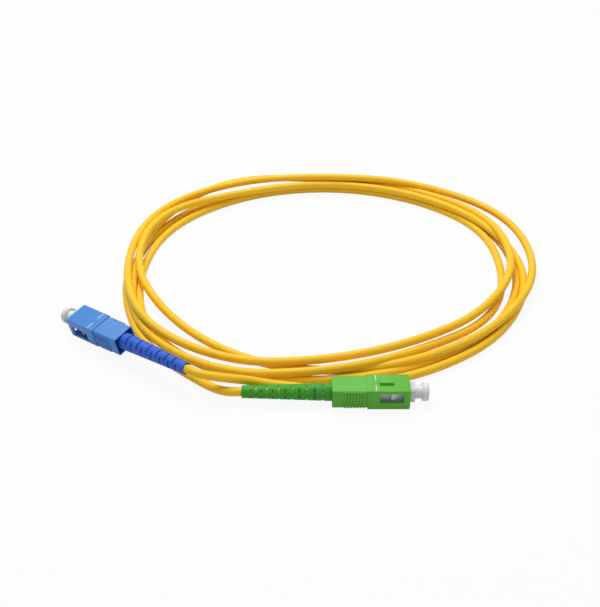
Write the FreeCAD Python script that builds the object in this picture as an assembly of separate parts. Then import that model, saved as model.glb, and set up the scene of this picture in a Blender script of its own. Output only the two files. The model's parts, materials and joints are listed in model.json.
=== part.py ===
import FreeCAD, Part
import math
import os

# Simplex fibre optic patch cord: one 3 mm jacketed cord in a loose flat coil, with a square push-pull
# plug on each end. The green plug lies flat, key up; the blue plug leans on its key, tail raised.
# Millimetres, +Z up. The origin is the middle of the green plug's underside, +X towards its ferrule.
# Each plug is drawn in its own frame: nose along +X, key along +Z, housing's front face at x = 0.

V = FreeCAD.Vector
X_AXIS = V(1, 0, 0)
Y_AXIS = V(0, 1, 0)
Z_AXIS = V(0, 0, 1)

# Cord
cord_diameter = 3.0
cord_radius = cord_diameter / 2
bore_clearance = 0.15

# Outer housing, the grip that slides on the plug frame
housing_length = 25.0
housing_width = 9.0
housing_height = 7.4
side_wall = 0.7
top_wall = 0.6
housing_round = 0.3
key_length = 4.6
key_width = 2.2
key_height = 0.9
key_setback = 5.2
window_length = 7.7
window_height = 3.7
window_setback = 2.1
window_lift = 0.8
grip_start = 13.7
grip_step = 0.3
grip_round = 0.6
grip_first_rib = 14.9
grip_rib_count = 7
grip_rib_pitch = 1.0
grip_rib_width = 0.5
rear_chamfer = 0.15
stop_rib_length = 1.5
stop_rib_width = 3.0
snap_bump_length = 1.4
snap_bump_height = 2.4

# White index marks, laid into shallow grooves across both broad faces
mark_width = 0.35
mark_depth = 0.15
mark_sink = 0.02
mark_setback = 11.0
mark_gap = 2.3
mark_length = 2.8

# Travels
grip_travel = 2.0
ferrule_travel = 1.5
travel_spare = 0.1

# Plug frame, the white inner body
frame_stand_out = 1.6
nose_width = 5.0
nose_gap_height = 0.5
nose_chamfer = 0.4
nose_length = 12.6
block_length = 7.0
frame_play = 0.1
front_bore_radius = 1.95
front_bore_depth = 3.8
shoulder_thickness = 0.5
shoulder_clearance = 0.1
latch_boss_rise = 0.9
latch_boss_length = 2.5
latch_boss_height = 3.0
latch_boss_setback = 3.6
latch_boss_crest = 0.6
latch_boss_root = 0.1

# Ferrule, flange and spring
ferrule_diameter = 2.5
ferrule_length = 10.5
ferrule_stand_out = 2.2
ferrule_chamfer = 0.25
angled_polish = 8.0
flange_radius = 1.9
flange_clearance = 0.1
flange_rear_wall = 0.5
flange_sleeve_radius = 1.0
flange_sleeve_length = 7.3
flange_bore_radius = 0.5
flange_notch_width = 0.6
flange_notch_depth = 0.5
spring_wire_radius = 0.17
spring_mean_radius = 1.42
spring_turns = 6
spring_length = 6.0

# Backbone, crimp and fibre
backbone_stub_radius = 2.25
backbone_stub_length = 4.8
backbone_bore_radius = 1.2
backbone_flange_play = 0.2
backbone_flange_length = 0.95
barrel_radius = 1.9
barrel_length = 6.0
barrel_groove_count = 4
barrel_groove_depth = 0.12
barrel_groove_width = 0.4
jacket_set_back = 0.75
yarn_thickness = 0.2
crimp_wall = 0.35
crimp_neck_length = 4.6
crimp_neck_wall = 0.4
fibre_buffer_radius = 0.45
fit_gap = 0.05

# Strain-relief boot
boot_play = 0.125
boot_tail_radius = 2.05
boot_overlap = 5.0
boot_length_outside = 29.1
boot_collar_length = 6.0
boot_slot_count = 12
boot_slot_width = 0.55
boot_slot_web = 1.25
boot_slot_first = 3.0
boot_slot_pitch = 1.6
boot_slot_growth = 0.1

# Dust cap
cap_sleeve_depth = 3.5
cap_sleeve_radius = 1.85
cap_bore_clearance = 0.03
cap_neck_radius = 2.2
cap_neck_length = 2.4
cap_end_radius = 3.0
cap_end_length = 2.1
cap_end_space = 0.3
cap_round = 0.4

# Where the plugs lie: the place of each housing's front face, and its turns in degrees
green_nose = V(housing_length / 2, 0, housing_height / 2)
green_turn = FreeCAD.Rotation(Z_AXIS, 0)
blue_nose = V(-101.5, 39.2, 4.43)
blue_heading = 140.94
blue_nose_down = 4.96
blue_roll = 169.0
blue_turn = (
    FreeCAD.Rotation(Z_AXIS, blue_heading)
    .multiply(FreeCAD.Rotation(Y_AXIS, blue_nose_down))
    .multiply(FreeCAD.Rotation(X_AXIS, blue_roll))
)

# Coil: a flat oval ring that five loose turns fill
coil_centre = V(-12.0, 76.5, 0)
coil_half_length = 79.0
coil_half_width = 71.5
coil_band_side = 15.0
coil_band_end = 12.5
coil_height = 9.0
coil_round = 2.5
coil_end_share = 0.8

# Cord routes from each boot's tail to the coil, chosen by hand
green_lead_points = [
    V(-41.6, 0.0, 3.7),
    V(-47.0, 0.0, 3.7),
    V(-52.2, 2.9, 3.0),
    V(-56.2, 7.4, 2.1),
    V(-62.2, 11.9, 1.6),
    V(-70.0, 17.4, 1.55),
    V(-77.5, 26.4, 1.55),
    V(-83.6, 38.6, 1.55),
    V(-87.2, 53.0, 1.55),
    V(-87.6, 66.0, 1.6),
]
blue_lead_points = [
    V(-59.65, 5.24, 9.11),
    V(-55.63, 1.98, 9.56),
    V(-50.4, 0.9, 8.6),
    V(-45.3, 2.6, 7.1),
    V(-39.6, 4.9, 5.2),
    V(-33.2, 7.0, 3.8),
    V(-26.4, 9.0, 3.2),
]

# Places along a plug's axis that several pieces share
half_width = housing_width / 2
half_height = housing_height / 2
cavity_half_width = half_width - side_wall
cavity_half_height = half_height - top_wall
nose_half_height = cavity_half_height - nose_gap_height
backbone_flange_radius = cavity_half_height - backbone_flange_play
boot_front_radius = cavity_half_height - boot_play
block_front = frame_stand_out - nose_length
block_rear = block_front - block_length
ferrule_tip = frame_stand_out + ferrule_stand_out
ferrule_rear = ferrule_tip - ferrule_length
shoulder_front = frame_stand_out - front_bore_depth
shoulder_rear = shoulder_front - shoulder_thickness
flange_front = shoulder_rear - fit_gap
flange_rear = ferrule_rear - flange_rear_wall
spring_front = flange_rear - fit_gap
spring_rear = spring_front - spring_length
backbone_front = spring_rear - fit_gap
stub_rear = backbone_front - backbone_stub_length
backbone_flange_front = block_rear - fit_gap
backbone_flange_rear = backbone_flange_front - backbone_flange_length
barrel_rear = backbone_flange_rear - barrel_length
boot_front = boot_overlap - housing_length
boot_tail = -housing_length - boot_length_outside
crimp_front = backbone_flange_rear - 2 * fit_gap
yarn_radius = barrel_radius + yarn_thickness
crimp_radius = yarn_radius + crimp_wall
crimp_shoulder = barrel_rear - crimp_wall
jacket_front = crimp_shoulder - jacket_set_back
crimp_neck_radius = cord_radius + crimp_neck_wall
crimp_rear = jacket_front - crimp_neck_length
fibre_front = ferrule_rear - 2 * travel_spare
fibre_rear = jacket_front + ferrule_travel + travel_spare


def box(x0, x1, half_y, half_z):
    """Block centred on the plug's axis, from x0 forward to x1."""
    return Part.makeBox(x1 - x0, 2 * half_y, 2 * half_z, V(x0, -half_y, -half_z))


def block(x0, x1, y0, y1, z0, z1):
    return Part.makeBox(x1 - x0, y1 - y0, z1 - z0, V(x0, y0, z0))


def rod(x0, x1, radius):
    return Part.makeCylinder(radius, x1 - x0, V(x0, 0, 0), X_AXIS)


def tube(x0, x1, outer, inner):
    return rod(x0, x1, outer).cut(rod(x0, x1, inner))


def turned(outline):
    """Solid of revolution about the plug's axis from (x, radius) corners."""
    corners = [V(x, 0, radius) for x, radius in outline]
    face = Part.Face(Part.makePolygon(corners + corners[:1]))
    return face.revolve(V(0, 0, 0), X_AXIS, 360)


def rectangle(x, half_y, half_z):
    corners = [V(x, y * half_y, z * half_z) for y, z in ((1, 1), (-1, 1), (-1, -1), (1, -1))]
    return Part.makePolygon(corners + corners[:1])


def edges_along(shape, axis):
    """Straight edges that run along an axis."""
    chosen = []
    for edge in shape.Edges:
        ends = edge.Vertexes
        if len(ends) == 2 and (ends[1].Point - ends[0].Point).cross(axis).Length < 1e-6:
            chosen.append(edge)
    return chosen


def mark_bars(depth):
    """Four short bars across the housing: two on the key face, two on the plain face."""
    bars = []
    rear = -mark_setback - mark_width / 2
    for side in (1, -1):
        for face in (1, -1):
            inner = mark_gap / 2
            y0, y1 = sorted((side * inner, side * (inner + mark_length)))
            z0, z1 = sorted((face * (half_height - mark_depth), face * (half_height - mark_depth + depth)))
            bars.append(block(rear, rear + mark_width, y0, y1, z0, z1))
    return bars


def outer_housing():
    body = box(-grip_start, 0, half_width, half_height)
    body = body.makeFillet(housing_round, edges_along(body, X_AXIS))
    grip = box(-housing_length, -grip_start, half_width - grip_step, half_height - grip_step)
    body = body.fuse(grip.makeFillet(grip_round, edges_along(grip, X_AXIS)))
    rib_half_height = half_height - grip_step - grip_round / 2
    for index in range(grip_rib_count):
        x = -grip_first_rib - index * grip_rib_pitch
        rib = box(x - grip_rib_width / 2, x + grip_rib_width / 2, half_width, rib_half_height)
        body = body.fuse(rib)
    key = block(
        -key_setback - key_length, -key_setback, -key_width / 2, key_width / 2, 0, half_height + key_height
    )
    body = body.fuse(key)
    body = body.cut(box(-housing_length, 0, cavity_half_width, cavity_half_height))
    window = block(
        -window_setback - window_length,
        -window_setback,
        -housing_width,
        housing_width,
        window_lift - window_height / 2,
        window_lift + window_height / 2,
    )
    body = body.cut(window)
    mouth = rectangle(-housing_length, cavity_half_width + rear_chamfer, cavity_half_height + rear_chamfer)
    throat = rectangle(rear_chamfer - housing_length, cavity_half_width, cavity_half_height)
    body = body.cut(Part.makeLoft([mouth, throat], True, True))
    # Front stops over and under the nose, and rear snap bumps at the sides, hold the frame in
    stop_rear = block_front + grip_travel + travel_spare
    nose_room = nose_half_height + frame_play
    for side in (1, -1):
        z0, z1 = sorted((side * nose_room, side * (half_height - top_wall / 2)))
        half_rib = stop_rib_width / 2
        body = body.fuse(block(stop_rear, stop_rear + stop_rib_length, -half_rib, half_rib, z0, z1))
        bump_front = block_rear - travel_spare
        bump_inner = boot_front_radius + 2 * frame_play
        y0, y1 = sorted((side * bump_inner, side * (half_width - side_wall / 2)))
        half_bump = snap_bump_height / 2
        body = body.fuse(block(bump_front - snap_bump_length, bump_front, y0, y1, -half_bump, half_bump))
    for groove in mark_bars(mark_depth + 1):
        body = body.cut(groove)
    return body.removeSplitter()


def index_marks():
    return Part.makeCompound(mark_bars(mark_depth - mark_sink))


def plug_frame():
    nose = box(block_front, frame_stand_out, nose_width / 2, nose_half_height)
    nose = nose.makeChamfer(nose_chamfer, edges_along(nose, X_AXIS))
    rear_half_width = cavity_half_width - frame_play
    rear_half_height = cavity_half_height - frame_play
    body = nose.fuse(box(block_rear, block_front, rear_half_width, rear_half_height))
    for side in (1, -1):
        root = side * (nose_width / 2 - latch_boss_root)
        crest = side * (nose_width / 2 + latch_boss_rise)
        front = -latch_boss_setback
        rear = front - latch_boss_length
        corners = [
            V(front, root, 0),
            V(rear + latch_boss_crest, crest, 0),
            V(rear, crest, 0),
            V(rear, root, 0),
        ]
        ramp = Part.Face(Part.makePolygon(corners + corners[:1])).extrude(V(0, 0, latch_boss_height))
        ramp.translate(V(0, 0, window_lift - latch_boss_height / 2))
        body = body.fuse(ramp)
    body = body.cut(rod(shoulder_front, frame_stand_out, front_bore_radius))
    body = body.cut(rod(shoulder_rear, shoulder_front, ferrule_diameter / 2 + shoulder_clearance))
    body = body.cut(rod(backbone_front, shoulder_rear, flange_radius + flange_clearance))
    body = body.cut(rod(block_rear, backbone_front, backbone_stub_radius + fit_gap))
    return body.removeSplitter()


def ferrule(polish_angle):
    radius = ferrule_diameter / 2
    body = turned([
        (ferrule_rear, 0),
        (ferrule_rear, radius),
        (ferrule_tip - ferrule_chamfer, radius),
        (ferrule_tip, radius - ferrule_chamfer),
        (ferrule_tip, 0),
    ])
    if polish_angle:
        cutter = box(0, 2, ferrule_diameter, ferrule_diameter)
        cutter.rotate(V(0, 0, 0), Y_AXIS, polish_angle)
        cutter.translate(V(ferrule_tip, 0, 0))
        body = body.cut(cutter)
    return body


def ferrule_flange():
    collar = tube(ferrule_rear, flange_front, flange_radius, ferrule_diameter / 2)
    rear_wall = tube(flange_rear, ferrule_rear, flange_radius, flange_bore_radius)
    sleeve = tube(flange_rear - flange_sleeve_length, flange_rear, flange_sleeve_radius, flange_bore_radius)
    body = collar.fuse(rear_wall).fuse(sleeve)
    for angle in range(0, 360, 90):
        notch = block(
            flange_front - flange_notch_depth, flange_front + 1,
            flange_radius - flange_notch_depth, flange_radius + 1,
            -flange_notch_width / 2, flange_notch_width / 2,
        )
        notch.rotate(V(0, 0, 0), X_AXIS, angle)
        body = body.cut(notch)
    return body.removeSplitter()


def spring():
    span = spring_length - 2 * spring_wire_radius
    helix = Part.makeHelix(span / spring_turns, span, spring_mean_radius)
    section = Part.Wire(Part.makeCircle(spring_wire_radius, V(spring_mean_radius, 0, 0), Y_AXIS))
    coil = Part.Wire(helix).makePipeShell([section], True, True)
    coil.rotate(V(0, 0, 0), Y_AXIS, 90)
    coil.translate(V(spring_rear + spring_wire_radius, 0, 0))
    return coil


def backbone():
    bore = backbone_bore_radius
    body = tube(block_rear, backbone_front, backbone_stub_radius, bore)
    body = body.fuse(tube(backbone_flange_front, block_rear, backbone_stub_radius, bore))
    body = body.fuse(tube(backbone_flange_rear, backbone_flange_front, backbone_flange_radius, bore))
    barrel = tube(barrel_rear, backbone_flange_rear, barrel_radius, bore)
    pitch = barrel_length / (barrel_groove_count + 1)
    for index in range(barrel_groove_count):
        x = backbone_flange_rear - (index + 1) * pitch
        x0 = x - barrel_groove_width / 2
        x1 = x + barrel_groove_width / 2
        barrel = barrel.cut(tube(x0, x1, barrel_radius + 1, barrel_radius - barrel_groove_depth))
    return body.fuse(barrel).removeSplitter()


def aramid_yarn():
    return tube(barrel_rear, crimp_front, yarn_radius, barrel_radius)


def crimp_sleeve():
    return turned([
        (crimp_front, yarn_radius),
        (crimp_front, crimp_radius),
        (barrel_rear, crimp_radius),
        (crimp_shoulder, crimp_neck_radius),
        (crimp_rear, crimp_neck_radius),
        (crimp_rear, cord_radius),
        (crimp_shoulder, cord_radius),
        (barrel_rear, yarn_radius),
    ])


def buffered_fibre():
    return rod(fibre_rear, fibre_front, fibre_buffer_radius)


def boot():
    crimp_room = crimp_radius + fit_gap
    neck_room = crimp_neck_radius + fit_gap
    cord_room = cord_radius + bore_clearance
    collar_rear = boot_front - boot_collar_length
    body = turned([
        (boot_front, crimp_room),
        (boot_front, boot_front_radius),
        (collar_rear, boot_front_radius),
        (boot_tail, boot_tail_radius),
        (boot_tail, cord_room),
        (crimp_rear - 2 * fit_gap, cord_room),
        (crimp_rear - 2 * fit_gap, neck_room),
        (crimp_shoulder - fit_gap, neck_room),
        (barrel_rear - fit_gap, crimp_room),
    ])
    for index in range(boot_slot_count):
        from_tail = boot_slot_first + index * boot_slot_pitch + boot_slot_growth * index * (index - 1) / 2
        x = boot_tail + from_tail
        for side in (0, 180):
            slot = block(
                x - boot_slot_width / 2, x + boot_slot_width / 2,
                boot_slot_web, 2 * boot_front_radius,
                -boot_front_radius, boot_front_radius,
            )
            slot.rotate(V(0, 0, 0), X_AXIS, side + 90 * (index % 2))
            body = body.cut(slot)
    return body


def dust_cap():
    bore = ferrule_diameter / 2 + cap_bore_clearance
    neck_rear = frame_stand_out + fit_gap
    neck_front = neck_rear + cap_neck_length
    end_front = neck_front + cap_end_length
    end_space = ferrule_tip + cap_end_space
    return turned([
        (neck_rear - cap_sleeve_depth, bore),
        (neck_rear - cap_sleeve_depth, cap_sleeve_radius),
        (neck_rear, cap_sleeve_radius),
        (neck_rear, cap_neck_radius),
        (neck_front, cap_neck_radius),
        (neck_front, cap_end_radius),
        (end_front - cap_round, cap_end_radius),
        (end_front, cap_end_radius - cap_round),
        (end_front, 0),
        (end_space, 0),
        (end_space, bore),
    ])


def jacket_end():
    return rod(boot_tail, jacket_front, cord_radius)


def cord_along(points, radius):
    """Round cord along straight runs joined by tangent arcs."""
    edges = []
    start = points[0]
    length = 0
    for before, corner, after in zip(points, points[1:], points[2:]):
        into = (corner - before).normalize()
        out = (after - corner).normalize()
        run = min((corner - before).Length, (after - corner).Length)
        turn = into.getAngle(out)
        tangent = 0.45 * run
        bend = tangent / math.tan(turn / 2)
        arc_start = corner - into * tangent
        arc_end = corner + out * tangent
        inward = (out - into).normalize()
        middle = corner + inward * (bend / math.cos(turn / 2) - bend)
        edges.append(Part.LineSegment(start, arc_start).toShape())
        edges.append(Part.Arc(arc_start, middle, arc_end).toShape())
        length += (arc_start - start).Length + bend * turn
        print("bend radius %.1f at turn %.0f degrees" % (bend, math.degrees(turn)))
        start = arc_end
    edges.append(Part.LineSegment(start, points[-1]).toShape())
    length += (points[-1] - start).Length
    section = Part.Wire(Part.makeCircle(radius, points[0], points[1] - points[0]))
    cord = Part.Wire(edges).makePipeShell([section], True, True)
    expected = math.pi * radius ** 2 * length
    print("cord length %.1f, volume %.1f of %.1f expected" % (length, cord.Volume, expected))
    return cord


def oval_face(half_length, half_width):
    """Oval of four tangent arcs, centred on the origin."""
    end_radius = half_width * coil_end_share
    reach = half_length - end_radius
    side_radius = (reach ** 2 + half_width ** 2 - end_radius ** 2) / (2 * (half_width - end_radius))
    drop = side_radius - half_width
    join_angle = math.atan2(drop, reach)
    join = V(reach + end_radius * math.cos(join_angle), end_radius * math.sin(join_angle), 0)
    arcs = []
    for x, y in ((1, 1), (-1, -1)):
        end_start = V(x * join.x, -y * join.y, 0)
        end_stop = V(x * join.x, y * join.y, 0)
        side_stop = V(-x * join.x, y * join.y, 0)
        arcs.append(Part.Arc(end_start, V(x * half_length, 0, 0), end_stop).toShape())
        arcs.append(Part.Arc(end_stop, V(0, y * half_width, 0), side_stop).toShape())
    return Part.Face(Part.Wire(arcs))


def cord_coil():
    outer = oval_face(coil_half_length, coil_half_width)
    inner = oval_face(coil_half_length - coil_band_side, coil_half_width - coil_band_end)
    ring = outer.extrude(V(0, 0, coil_height)).cut(inner.extrude(V(0, 0, coil_height)))
    top_edges = [edge for edge in ring.Edges if abs(edge.BoundBox.ZMin - coil_height) < 1e-6]
    ring = ring.makeFillet(coil_round, top_edges)
    ring.translate(coil_centre)
    return ring


def plug_pieces(polish_angle):
    return {
        "outer_housing": outer_housing(),
        "index_marks": index_marks(),
        "plug_frame": plug_frame(),
        "ferrule": ferrule(polish_angle),
        "ferrule_flange": ferrule_flange(),
        "spring": spring(),
        "backbone": backbone(),
        "aramid_yarn": aramid_yarn(),
        "crimp_sleeve": crimp_sleeve(),
        "buffered_fibre": buffered_fibre(),
        "boot": boot(),
        "dust_cap": dust_cap(),
        "jacket_end": jacket_end(),
    }


nodes = {}
for colour, nose, turn, polish_angle in (
    ("green", green_nose, green_turn, angled_polish),
    ("blue", blue_nose, blue_turn, 0),
):
    for name, piece in plug_pieces(polish_angle).items():
        piece.Placement = FreeCAD.Placement(nose, turn).multiply(piece.Placement)
        nodes[colour + "_" + name] = piece
nodes["green_lead"] = cord_along(green_lead_points, cord_radius)
nodes["blue_lead"] = cord_along(blue_lead_points, cord_radius)
nodes["cord_coil"] = cord_coil()

os.makedirs("parts", exist_ok=True)
for name, shape in nodes.items():
    shape.exportStep("parts/%s.step" % name)
    if not shape.isValid():
        print("not valid:", name)
low = min(shape.BoundBox.ZMin for shape in nodes.values())
print("%d nodes, lowest point %.3f" % (len(nodes), low))
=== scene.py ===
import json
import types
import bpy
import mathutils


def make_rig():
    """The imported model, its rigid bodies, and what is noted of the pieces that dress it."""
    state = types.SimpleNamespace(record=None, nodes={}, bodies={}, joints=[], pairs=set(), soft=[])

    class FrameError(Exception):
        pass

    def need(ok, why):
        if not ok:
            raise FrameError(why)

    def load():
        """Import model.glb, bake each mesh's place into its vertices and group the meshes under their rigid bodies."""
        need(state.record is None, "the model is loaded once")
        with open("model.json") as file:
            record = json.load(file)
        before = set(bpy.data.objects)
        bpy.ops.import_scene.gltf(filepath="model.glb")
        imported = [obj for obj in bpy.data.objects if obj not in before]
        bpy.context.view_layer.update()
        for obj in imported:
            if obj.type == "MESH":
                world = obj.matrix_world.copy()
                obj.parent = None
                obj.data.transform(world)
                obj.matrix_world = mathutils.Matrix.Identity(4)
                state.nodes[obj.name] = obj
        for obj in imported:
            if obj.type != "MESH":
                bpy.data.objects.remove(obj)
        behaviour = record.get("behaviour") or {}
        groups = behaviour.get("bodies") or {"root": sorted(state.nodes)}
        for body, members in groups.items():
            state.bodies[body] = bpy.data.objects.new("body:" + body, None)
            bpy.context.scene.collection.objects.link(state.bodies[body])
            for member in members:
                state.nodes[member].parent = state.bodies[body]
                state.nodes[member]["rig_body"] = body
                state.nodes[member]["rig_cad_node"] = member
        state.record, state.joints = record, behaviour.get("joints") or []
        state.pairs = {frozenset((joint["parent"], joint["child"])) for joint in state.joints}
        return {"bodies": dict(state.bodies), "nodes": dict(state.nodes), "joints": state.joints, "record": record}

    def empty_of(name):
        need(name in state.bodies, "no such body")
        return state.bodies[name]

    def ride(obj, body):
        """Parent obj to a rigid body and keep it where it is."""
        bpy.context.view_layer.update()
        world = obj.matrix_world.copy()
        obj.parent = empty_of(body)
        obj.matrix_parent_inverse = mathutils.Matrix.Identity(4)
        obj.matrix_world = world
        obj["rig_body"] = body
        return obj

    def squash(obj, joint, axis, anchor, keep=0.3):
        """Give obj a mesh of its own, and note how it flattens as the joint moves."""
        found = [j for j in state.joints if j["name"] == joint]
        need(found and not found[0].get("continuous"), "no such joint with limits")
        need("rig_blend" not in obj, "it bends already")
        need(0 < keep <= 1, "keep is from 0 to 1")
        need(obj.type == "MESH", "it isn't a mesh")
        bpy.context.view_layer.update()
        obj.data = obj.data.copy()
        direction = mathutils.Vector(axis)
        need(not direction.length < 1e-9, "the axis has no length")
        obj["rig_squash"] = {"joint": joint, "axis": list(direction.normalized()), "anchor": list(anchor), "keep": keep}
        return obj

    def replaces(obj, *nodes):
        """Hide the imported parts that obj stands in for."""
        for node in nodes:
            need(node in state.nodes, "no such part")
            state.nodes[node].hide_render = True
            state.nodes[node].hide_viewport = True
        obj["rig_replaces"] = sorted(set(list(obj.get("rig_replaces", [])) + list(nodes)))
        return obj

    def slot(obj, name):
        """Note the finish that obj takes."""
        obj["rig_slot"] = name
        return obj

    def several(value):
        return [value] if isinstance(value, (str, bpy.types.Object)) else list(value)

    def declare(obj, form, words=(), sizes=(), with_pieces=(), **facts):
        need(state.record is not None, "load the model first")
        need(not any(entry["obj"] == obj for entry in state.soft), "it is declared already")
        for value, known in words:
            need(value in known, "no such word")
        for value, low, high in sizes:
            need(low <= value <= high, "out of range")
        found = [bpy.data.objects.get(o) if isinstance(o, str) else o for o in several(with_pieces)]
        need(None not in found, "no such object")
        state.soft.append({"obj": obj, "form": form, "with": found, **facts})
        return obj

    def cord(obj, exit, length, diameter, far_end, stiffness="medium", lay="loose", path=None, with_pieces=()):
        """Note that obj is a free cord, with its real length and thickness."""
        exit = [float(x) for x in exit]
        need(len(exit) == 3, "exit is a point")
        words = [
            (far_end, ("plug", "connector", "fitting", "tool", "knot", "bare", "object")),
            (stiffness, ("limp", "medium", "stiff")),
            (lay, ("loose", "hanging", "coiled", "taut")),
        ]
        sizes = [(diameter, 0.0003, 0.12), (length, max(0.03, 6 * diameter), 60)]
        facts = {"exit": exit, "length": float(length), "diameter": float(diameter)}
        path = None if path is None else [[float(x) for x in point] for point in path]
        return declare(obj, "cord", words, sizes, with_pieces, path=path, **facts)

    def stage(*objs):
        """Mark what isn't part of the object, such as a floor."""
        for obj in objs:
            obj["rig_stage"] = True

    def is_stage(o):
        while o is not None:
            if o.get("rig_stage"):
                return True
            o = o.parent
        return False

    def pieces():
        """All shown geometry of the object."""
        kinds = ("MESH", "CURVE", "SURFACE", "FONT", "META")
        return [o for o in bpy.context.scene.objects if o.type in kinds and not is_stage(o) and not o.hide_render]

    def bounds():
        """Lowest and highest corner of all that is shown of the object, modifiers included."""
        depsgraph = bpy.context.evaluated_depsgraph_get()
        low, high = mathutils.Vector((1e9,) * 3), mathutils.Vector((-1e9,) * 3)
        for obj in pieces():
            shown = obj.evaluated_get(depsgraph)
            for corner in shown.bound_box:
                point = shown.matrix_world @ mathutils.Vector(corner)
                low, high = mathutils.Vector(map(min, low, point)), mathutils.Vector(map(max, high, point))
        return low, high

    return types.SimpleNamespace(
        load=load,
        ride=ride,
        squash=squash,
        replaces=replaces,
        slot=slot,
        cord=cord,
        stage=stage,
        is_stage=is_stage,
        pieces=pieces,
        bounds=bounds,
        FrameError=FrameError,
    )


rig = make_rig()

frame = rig.load()

import json
import math

import bpy
from mathutils import Matrix, Vector

cad_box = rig.bounds()

# Simplex fibre optic patch cord: a yellow cord in a loose flat coil between a green and a blue plug.
# Metres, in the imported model's frame: the green plug points along +X and the floor is z = 0.

MM = 0.001
CORD_DIAMETER = 3.0 * MM
CORD_LENGTH = 2.32

# Each plug's own frame has its nose along +X, its key along +Z and the housing's front face at x = 0
HOUSING_LENGTH = 25.0 * MM
HOUSING_WIDTH = 9.0 * MM
HOUSING_HEIGHT = 7.4 * MM
BOOT_TAIL = -54.1 * MM
RECOIL = 1.5 * MM
GREEN_PLACE = Matrix.Translation((HOUSING_LENGTH / 2, 0, HOUSING_HEIGHT / 2))
BLUE_NOSE = Vector((-0.1015, 0.0392, 0.00443))
BLUE_PLACE = (
    Matrix.Translation(BLUE_NOSE)
    @ Matrix.Rotation(math.radians(140.94), 4, "Z")
    @ Matrix.Rotation(math.radians(4.96), 4, "Y")
    @ Matrix.Rotation(math.radians(169.0), 4, "X")
)
PLACES = {"green": GREEN_PLACE, "blue": BLUE_PLACE}

# Edge roundings of the mouldings, and the larger quarter circle round the housing's front rim
MOULD_ROUND = 0.12 * MM
THIN_ROUND = 0.08 * MM
RIM_ROUND = 0.45 * MM
RIM_DEPTHS = [0.45 * MM, 0.20 * MM, 0.06 * MM, 0]
SKIN_DEPTH = 0.4 * MM
SHARP = math.radians(32)
SAME_PLACE = 0.002 * MM


# ---------------------------------------------------------------- finishes

class Value:
    """A shader socket that sums and products can be written on."""

    def __init__(self, nodes, socket):
        self.nodes = nodes
        self.socket = socket

    def maths(self, operation, *terms):
        sockets = dict(enumerate(terms))
        return self.nodes.node("ShaderNodeMath", {"operation": operation}, sockets)

    def __add__(self, other):
        return self.maths("ADD", self, other)

    def __radd__(self, other):
        return self.maths("ADD", other, self)

    def __sub__(self, other):
        return self.maths("SUBTRACT", self, other)

    def __rsub__(self, other):
        return self.maths("SUBTRACT", other, self)

    def __mul__(self, other):
        return self.maths("MULTIPLY", self, other)

    def __rmul__(self, other):
        return self.maths("MULTIPLY", other, self)


class Nodes:
    """A node tree, built node by node."""

    def __init__(self, tree):
        self.tree = tree

    def node(self, kind, settings=(), sockets=(), output=0):
        node = self.tree.nodes.new(kind)
        for name, value in dict(settings).items():
            setattr(node, name, value)
        for name, value in dict(sockets).items():
            self.feed(node.inputs[name], value)
        return Value(self, node.outputs[output])

    def feed(self, socket, value):
        if isinstance(value, Value):
            self.tree.links.new(value.socket, socket)
        else:
            socket.default_value = value

    def seen_directly(self):
        """1 for the camera, mirror images and the view through clear plastic, 0 for lighting."""
        kinds = ("Is Camera Ray", "Is Glossy Ray", "Is Transmission Ray")
        camera, mirror, through = [self.node("ShaderNodeLightPath", output=kind) for kind in kinds]
        return camera + mirror + through


class Finish(Nodes):
    """A material with one Principled shader."""

    def __init__(self, name, **constants):
        self.material = bpy.data.materials.new(name)
        self.material.use_nodes = True
        super().__init__(self.material.node_tree)
        self.shader = self.tree.nodes["Principled BSDF"]
        for socket, value in constants.items():
            self.shader.inputs[socket.replace("_", " ")].default_value = value
        self.place = self.node("ShaderNodeTexCoord", output="Object")

    def noise(self, per_metre, detail=3.0, roughness=0.5, stretch=(1, 1, 1)):
        spot = self.node("ShaderNodeMapping", {}, {"Vector": self.place, "Scale": stretch})
        return self.node(
            "ShaderNodeTexNoise", {},
            {"Vector": spot, "Scale": per_metre, "Detail": detail, "Roughness": roughness},
        )

    def between(self, low, high, value):
        """Value from 0 to 1 stretched from low to high."""
        return value * (high - low) + low

    def blend(self, amount, first, second):
        return self.node(
            "ShaderNodeMix", {"data_type": "RGBA"},
            {"Factor": amount, 6: first, 7: second}, output=2,
        )

    def surface(self, colour, roughness, height=None, depth=0.0):
        self.feed(self.shader.inputs["Base Color"], colour)
        self.feed(self.shader.inputs["Roughness"], roughness)
        if height:
            bump = self.node("ShaderNodeBump", {}, {"Height": height, "Distance": depth})
            self.feed(self.shader.inputs["Normal"], bump)
        return self.material


# Sizes of pattern, as noise cells per metre, and heights of relief in metres
CLOUD = 90
JACKET_CLOUD = 55
MOULD_GRAIN = 5200
JACKET_SKIN = 2600
TOOL_MARKS = 1800
FIBRES = 900
JACKET_RELIEF = 0.000006
MARK_RELIEF = 0.00001
FIBRE_RELIEF = 0.00008
ALONG_PLUG = (0.4, 6, 6)
ROUND_PLUG = (6, 0.4, 0.4)


def shade(colour, factor):
    return tuple(channel * factor for channel in colour) + (1.0,)


def moulded_plastic(name, colour, roughness, relief, **constants):
    """Spark-textured moulding: a fine even grain over faint flow clouding."""
    finish = Finish(name, **constants)
    cloud = finish.noise(CLOUD, 2)
    grain = finish.noise(MOULD_GRAIN, 2, 0.6)
    tint = finish.blend(cloud, shade(colour, 0.93), shade(colour, 1.06))
    gloss = finish.between(roughness - 0.06, roughness + 0.1, cloud * 0.6 + grain * 0.4)
    return finish.surface(tint, gloss, grain, relief)


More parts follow.
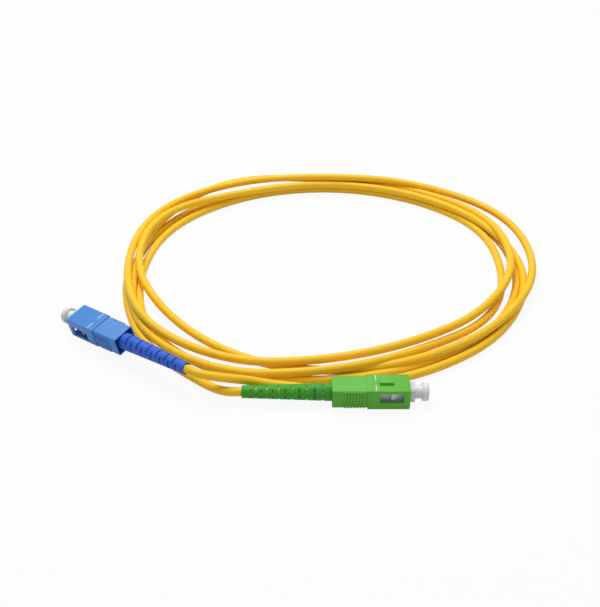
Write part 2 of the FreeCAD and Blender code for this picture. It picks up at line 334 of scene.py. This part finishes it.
def jacket(name, colour, **constants):
    """Extruded cord jacket: satin, with faint clouding."""
    finish = Finish(name, **constants)
    cloud = finish.noise(JACKET_CLOUD, 3)
    skin = finish.noise(JACKET_SKIN, 2, 0.55)
    tint = finish.blend(cloud, shade(colour, 0.94), shade(colour, 1.05))
    gloss = finish.between(0.40, 0.56, skin * 0.5 + cloud * 0.5)
    return finish.surface(tint, gloss, skin, JACKET_RELIEF)


def metal(name, colour, roughness, stretch):
    """Turned or drawn metal with fine tool marks."""
    finish = Finish(name, Metallic=1.0)
    marks = finish.noise(TOOL_MARKS, 4, 0.6, stretch)
    tint = finish.blend(marks, shade(colour, 0.85), shade(colour, 1.08))
    gloss = finish.between(roughness - 0.1, roughness + 0.15, marks)
    return finish.surface(tint, gloss, marks, MARK_RELIEF)


def yarn(name, colour):
    """Loose straight fibres with a soft sheen."""
    finish = Finish(name, Sheen_Weight=0.3)
    fibres = finish.noise(FIBRES, 5, 0.7, (0.15, 4, 4))
    tint = finish.blend(fibres, shade(colour, 0.6), shade(colour, 1.15))
    return finish.surface(tint, finish.between(0.6, 0.85, fibres), fibres, FIBRE_RELIEF)


MILKY = {"Subsurface_Radius": (1, 1, 1), "Subsurface_Scale": 0.001}
FINISHES = {
    "green_housing": moulded_plastic(
        "green_housing", (0.105, 0.450, 0.028), 0.42, 0.000012, Specular_IOR_Level=0.35),
    "blue_housing": moulded_plastic(
        "blue_housing", (0.048, 0.225, 0.640), 0.42, 0.000012, Specular_IOR_Level=0.35),
    "green_boot": moulded_plastic(
        "green_boot", (0.035, 0.330, 0.018), 0.52, 0.000012, Specular_IOR_Level=0.3),
    "blue_boot": moulded_plastic(
        "blue_boot", (0.029, 0.122, 0.620), 0.52, 0.000012, Specular_IOR_Level=0.3),
    "index_white": moulded_plastic("index_white", (0.66, 0.68, 0.64), 0.5, 0.00002),
    "frame_white": moulded_plastic(
        "frame_white", (0.66, 0.68, 0.67), 0.32, 0.00001, Subsurface_Weight=0.15, **MILKY),
    "zirconia": moulded_plastic("zirconia", (0.90, 0.89, 0.85), 0.12, 0.000002),
    "nickel_steel": metal("nickel_steel", (0.66, 0.66, 0.64), 0.25, ROUND_PLUG),
    "spring_steel": metal("spring_steel", (0.55, 0.55, 0.55), 0.3, (1, 1, 1)),
    "nickel_brass": metal("nickel_brass", (0.70, 0.67, 0.58), 0.28, ROUND_PLUG),
    "aramid": yarn("aramid", (0.86, 0.72, 0.28)),
    # The crimp sleeve's colour is near black: painted shade for the sleeve lying in shadow down the boot's slots, far
    # darker than its own metal.
    "crimp_aluminium": metal("crimp_aluminium", (0.12, 0.12, 0.125), 0.45, ALONG_PLUG),
    "buffer_white": moulded_plastic("buffer_white", (0.92, 0.92, 0.9), 0.45, 0.000005),
    "cap_clear": moulded_plastic(
        "cap_clear", (0.74, 0.75, 0.74), 0.36, 0.00001, Subsurface_Weight=0.25, **MILKY),
    "cord_yellow": jacket(
        "cord_yellow", (0.960, 0.575, 0.015), Specular_IOR_Level=0.3,
        Subsurface_Weight=0.15, Subsurface_Scale=0.0006, Subsurface_Radius=(1.0, 0.5, 0.2)),
}


# ---------------------------------------------------------------- pieces

def only(piece):
    """Leaves nothing but this piece selected and active."""
    bpy.ops.object.select_all(action="DESELECT")
    piece.select_set(True)
    bpy.context.view_layer.objects.active = piece


def paint(piece, slot):
    piece.data.materials.clear()
    piece.data.materials.append(FINISHES[slot])


def finish_piece(piece, slot, body, *nodes):
    """Gives the piece its finish and its body, and lets it stand for these CAD nodes."""
    paint(piece, slot)
    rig.ride(piece, body)
    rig.slot(piece, slot)
    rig.replaces(piece, *nodes)
    return piece


def copied(node, name):
    """A new piece with the CAD node's own shape."""
    piece = bpy.data.objects.new(name, frame["nodes"][node].data.copy())
    bpy.context.collection.objects.link(piece)
    only(piece)
    return piece


def pick(piece, chosen):
    """Leaves the piece in edit mode with just its chosen vertices selected."""
    bpy.ops.object.mode_set(mode="EDIT")
    bpy.ops.mesh.select_mode(type="VERT")
    bpy.ops.mesh.select_all(action="DESELECT")
    bpy.ops.object.mode_set(mode="OBJECT")
    for vertex in piece.data.vertices:
        vertex.select = chosen(vertex.co)
    bpy.ops.object.mode_set(mode="EDIT")


def on_skin(spot):
    """On the housing's outside rather than inside its mouth, in the plug's own frame."""
    return abs(spot.y) > HOUSING_WIDTH / 2 - SKIN_DEPTH or abs(spot.z) > HOUSING_HEIGHT / 2 - SKIN_DEPTH


def round_front_rim(piece, place):
    """The housing's outer front rim drawn in ring by ring along a quarter circle."""
    piece.data.transform(place.inverted())
    for depth in RIM_DEPTHS:
        inset = RIM_ROUND - math.sqrt(RIM_ROUND ** 2 - (RIM_ROUND - depth) ** 2)
        pick(piece, on_skin)
        if depth:
            bpy.ops.mesh.bisect(plane_co=(-depth, 0, 0), plane_no=(1, 0, 0))
        pick(piece, lambda spot: on_skin(spot) and abs(spot.x + depth) < SAME_PLACE)
        bpy.ops.transform.resize(
            value=(1, 1 - 2 * inset / HOUSING_WIDTH, 1 - 2 * inset / HOUSING_HEIGHT),
            center_override=(0, 0, 0),
        )
    bpy.ops.object.mode_set(mode="OBJECT")
    piece.data.transform(place)


def softened(node, slot, body, edge, segments=3, rim_place=None):
    """The CAD node's own shape with its sharp edges rounded, as a mould leaves them."""
    piece = copied(node, "moulded_" + node)
    bpy.ops.object.mode_set(mode="EDIT")
    bpy.ops.mesh.select_all(action="SELECT")
    bpy.ops.mesh.remove_doubles(threshold=SAME_PLACE)
    bpy.ops.mesh.dissolve_limited(angle_limit=math.radians(1.0))
    bpy.ops.object.mode_set(mode="OBJECT")
    if rim_place:
        round_front_rim(piece, rim_place)
    bevel = piece.modifiers.new("edges", "BEVEL")
    bevel.width = edge
    bevel.segments = segments
    bevel.limit_method = "ANGLE"
    bevel.angle_limit = SHARP
    bevel.use_clamp_overlap = True
    bpy.ops.object.modifier_apply(modifier="edges")
    bpy.ops.object.shade_smooth_by_angle(angle=SHARP)
    return finish_piece(piece, slot, body, node)


def compressible_spring(colour):
    """The CAD spring, shortened towards its rear end as the ferrule is pushed back."""
    node = colour + "_spring"
    place = PLACES[colour]
    piece = copied(node, "coiled_" + node)
    bpy.ops.object.shade_smooth_by_angle(angle=SHARP)
    along = [(place.inverted() @ vertex.co).x for vertex in piece.data.vertices]
    length = max(along) - min(along)
    finish_piece(piece, "spring_steel", "root", node)
    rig.squash(
        piece, colour + "_ferrule_recoil",
        axis=place.to_3x3() @ Vector((1, 0, 0)),
        anchor=place @ Vector((min(along), 0, 0)),
        keep=1 - RECOIL / length,
    )
    return piece


# ---------------------------------------------------------------- cord

# Route out of the blue boot, and the way back from the coil into the green boot, in millimetres
BLUE_LEAD = [
    (-59.65, 5.24, 9.11),
    (-55.63, 1.98, 9.56),
    (-50.4, 1.6, 8.6),
    (-45.3, 2.6, 7.1),
    (-39.6, 4.4, 4.9),
    (-32.6, 5.2, 2.6),
]
GREEN_LEAD = [
    (-86.6, 54.0, 1.55),
    (-83.4, 43.5, 1.55),
    (-79.6, 34.0, 1.55),
    (-75.0, 27.2, 1.55),
    (-69.4, 20.2, 1.55),
    (-62.8, 13.9, 1.6),
    (-57.2, 8.6, 2.1),
    (-52.2, 3.6, 2.9),
    (-47.0, 0.0, 3.7),
    (-41.6, 0.0, 3.7),
]

# Loose turns in millimetres, each as (distance from the coil's centre, height) at twelve bearings,
# from the front anticlockwise. They cross where one passes to the other side of its neighbour.
COIL_CENTRE = (-12.0, 72.5)
STATIONS = 12
TURNS = [
    [(67, 1.5), (66.5, 1.5), (70.5, 1.5), (75.2, 2.7), (73.2, 4.4), (70, 4.5),
     (69, 4.4), (70, 4.4), (78, 7.0), (72.6, 6.4), (63.4, 3.4), (59.4, 1.5)],
    [(58.4, 1.5), (62.5, 4.2), (68.8, 4.5), (78.6, 4.9), (84.2, 4.8), (74.6, 7.2),
     (69.6, 7.4), (77.5, 6.2), (80.4, 7.2), (75.8, 6.8), (74.6, 6.2), (66.2, 5.0)],
    [(54.8, 4.4), (55.7, 7.0), (61.2, 6.5), (70, 6.6), (76, 5.6), (73.7, 4.4),
     (73.2, 4.5), (83.8, 4.4), (77.6, 4.4), (73.2, 3.6), (76.4, 3.6), (71.6, 3.9)],
    [(60.7, 4.4), (57.7, 4.4), (64, 3.6), (66, 1.5), (72.2, 1.5), (70.6, 1.5),
     (70.4, 1.5), (71.3, 1.5), (73, 1.5), (71, 1.5), (73.4, 1.5), (70, 1.5)],
    [(62.7, 1.5), (62.7, 1.5), (67.4, 1.5), (72.3, 1.5), (75.3, 1.5), (73.7, 1.5),
     (74, 1.5), (76.4, 1.5), (76.4, 1.5), (75, 1.5)],
]


def coil_points():
    """Control points a little outside the cord's own line, which runs inside them."""
    step = 2 * math.pi / STATIONS
    points = []
    for turn in TURNS:
        for station, (distance, height) in enumerate(turn):
            bearing = -math.pi / 2 + station * step
            reach = distance / math.cos(step / 2)
            x = COIL_CENTRE[0] + reach * math.cos(bearing)
            y = COIL_CENTRE[1] + reach * math.sin(bearing)
            points.append((x, y, height))
    return points


def cord_route():
    """The whole line, from the blue plug's crimp through the coil to the green plug's crimp."""
    inside = [-27.0 * MM, -36.0 * MM, -45.0 * MM]
    start = [PLACES["blue"] @ Vector((x, 0, 0)) for x in inside]
    end = [PLACES["green"] @ Vector((x, 0, 0)) for x in reversed(inside)]
    middle = [Vector(point) * MM for point in BLUE_LEAD + coil_points() + GREEN_LEAD]
    return start + middle + end


def lay_cord():
    curve = bpy.data.curves.new("cord", "CURVE")
    curve.dimensions = "3D"
    route = cord_route()
    spline = curve.splines.new("NURBS")
    spline.points.add(len(route) - 1)
    for point, place in zip(spline.points, route):
        point.co = (*place, 1.0)
    spline.order_u = 3
    spline.use_endpoint_u = True
    spline.resolution_u = 10
    curve.bevel_depth = CORD_DIAMETER / 2
    curve.bevel_resolution = 5
    curve.use_fill_caps = True
    piece = bpy.data.objects.new("cord", curve)
    bpy.context.collection.objects.link(piece)
    finish_piece(
        piece, "cord_yellow", "root",
        "cord_coil", "green_lead", "blue_lead", "green_jacket_end", "blue_jacket_end",
    )
    return piece


for row in frame["record"]["subparts"]:
    paint(frame["nodes"][row["node"]], row["material_slot"])

plug_pieces = {}
for colour in ("green", "blue"):
    plug_pieces[colour] = [
        softened(
            colour + "_outer_housing", colour + "_housing", colour + "_grip", MOULD_ROUND,
            rim_place=PLACES[colour]),
        softened(colour + "_boot", colour + "_boot", "root", THIN_ROUND, 2),
        softened(colour + "_plug_frame", "frame_white", "root", THIN_ROUND, 2),
        softened(colour + "_dust_cap", "cap_clear", colour + "_cap", MOULD_ROUND),
        compressible_spring(colour),
    ]
cord = lay_cord()
inner = [
    "index_marks", "ferrule", "ferrule_flange", "backbone", "aramid_yarn", "crimp_sleeve",
    "buffered_fibre",
]
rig.cord(
    cord,
    exit=GREEN_PLACE @ Vector((BOOT_TAIL, 0, 0)),
    length=CORD_LENGTH,
    diameter=CORD_DIAMETER,
    far_end="plug",
    stiffness="medium",
    lay="coiled",
    with_pieces=plug_pieces["blue"] + [frame["nodes"]["blue_" + name] for name in inner],
)


# ---------------------------------------------------------------- studio

SKY_LIGHT = 0.30
FLOOR_GLOW = 0.92
FLOOR_SIZE = 6
FLOOR_GREY = 0.72
COIL_MIDDLE = Vector((-0.015, 0.05, 0))
CAMERA_LENS = 58.67
CAMERA_PLACE = (-0.0228, -0.2470, 0.2075)
CAMERA_TILT = math.radians(55.57)


def sky():
    """An even pale light that shows as plain white behind everything."""
    world = bpy.data.worlds.new("studio")
    bpy.context.scene.world = world
    world.use_nodes = True
    nodes = Nodes(world.node_tree)
    background = world.node_tree.nodes["Background"]
    background.inputs["Color"].default_value = (1, 1, 1, 1)
    nodes.feed(background.inputs["Strength"], nodes.seen_directly() * (1 - SKY_LIGHT) + SKY_LIGHT)


def floor():
    """A wide pale sheet, mostly self-lit so that it shows near white and keeps a faint shadow."""
    bpy.ops.object.select_all(action="DESELECT")
    bpy.ops.mesh.primitive_plane_add(size=FLOOR_SIZE)
    sheet = bpy.context.active_object
    sheet.name = "floor"
    finish = Finish("floor", Roughness=0.8)
    finish.shader.inputs["Base Color"].default_value = (FLOOR_GREY, FLOOR_GREY, FLOOR_GREY, 1)
    glow = finish.node("ShaderNodeEmission", {}, {"Strength": 1.0})
    lit = Value(finish, finish.shader.outputs[0])
    share = finish.seen_directly() * FLOOR_GLOW
    mixed = finish.node("ShaderNodeMixShader", {}, {0: share, 1: lit, 2: glow})
    finish.feed(finish.tree.nodes["Material Output"].inputs[0], mixed)
    sheet.data.materials.append(finish.material)
    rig.stage(sheet)


def lamp(name, place, size, energy):
    """A square soft light aimed at the middle of the coil."""
    data = bpy.data.lights.new(name, "AREA")
    data.energy = energy
    data.size = size
    holder = bpy.data.objects.new(name, data)
    bpy.context.collection.objects.link(holder)
    holder.location = place
    aim = COIL_MIDDLE - Vector(place)
    holder.rotation_euler = aim.to_track_quat("-Z", "Y").to_euler()


def camera():
    data = bpy.data.cameras.new("camera")
    data.lens = CAMERA_LENS
    data.clip_start = 0.01
    holder = bpy.data.objects.new("camera", data)
    bpy.context.collection.objects.link(holder)
    holder.location = CAMERA_PLACE
    holder.rotation_euler = (CAMERA_TILT, 0, 0)
    bpy.context.scene.camera = holder


sky()
floor()
lamp("key", place=(-0.12, 0.34, 0.72), size=0.5, energy=5.3)
lamp("fill", place=(0.35, -0.45, 0.60), size=0.6, energy=0.8)
camera()
bpy.context.scene.view_settings.view_transform = "Standard"
with open("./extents.json", "w") as size_file:
    json.dump({"cad": [list(corner) for corner in cad_box],
               "visual": [list(corner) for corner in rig.bounds()]}, size_file)
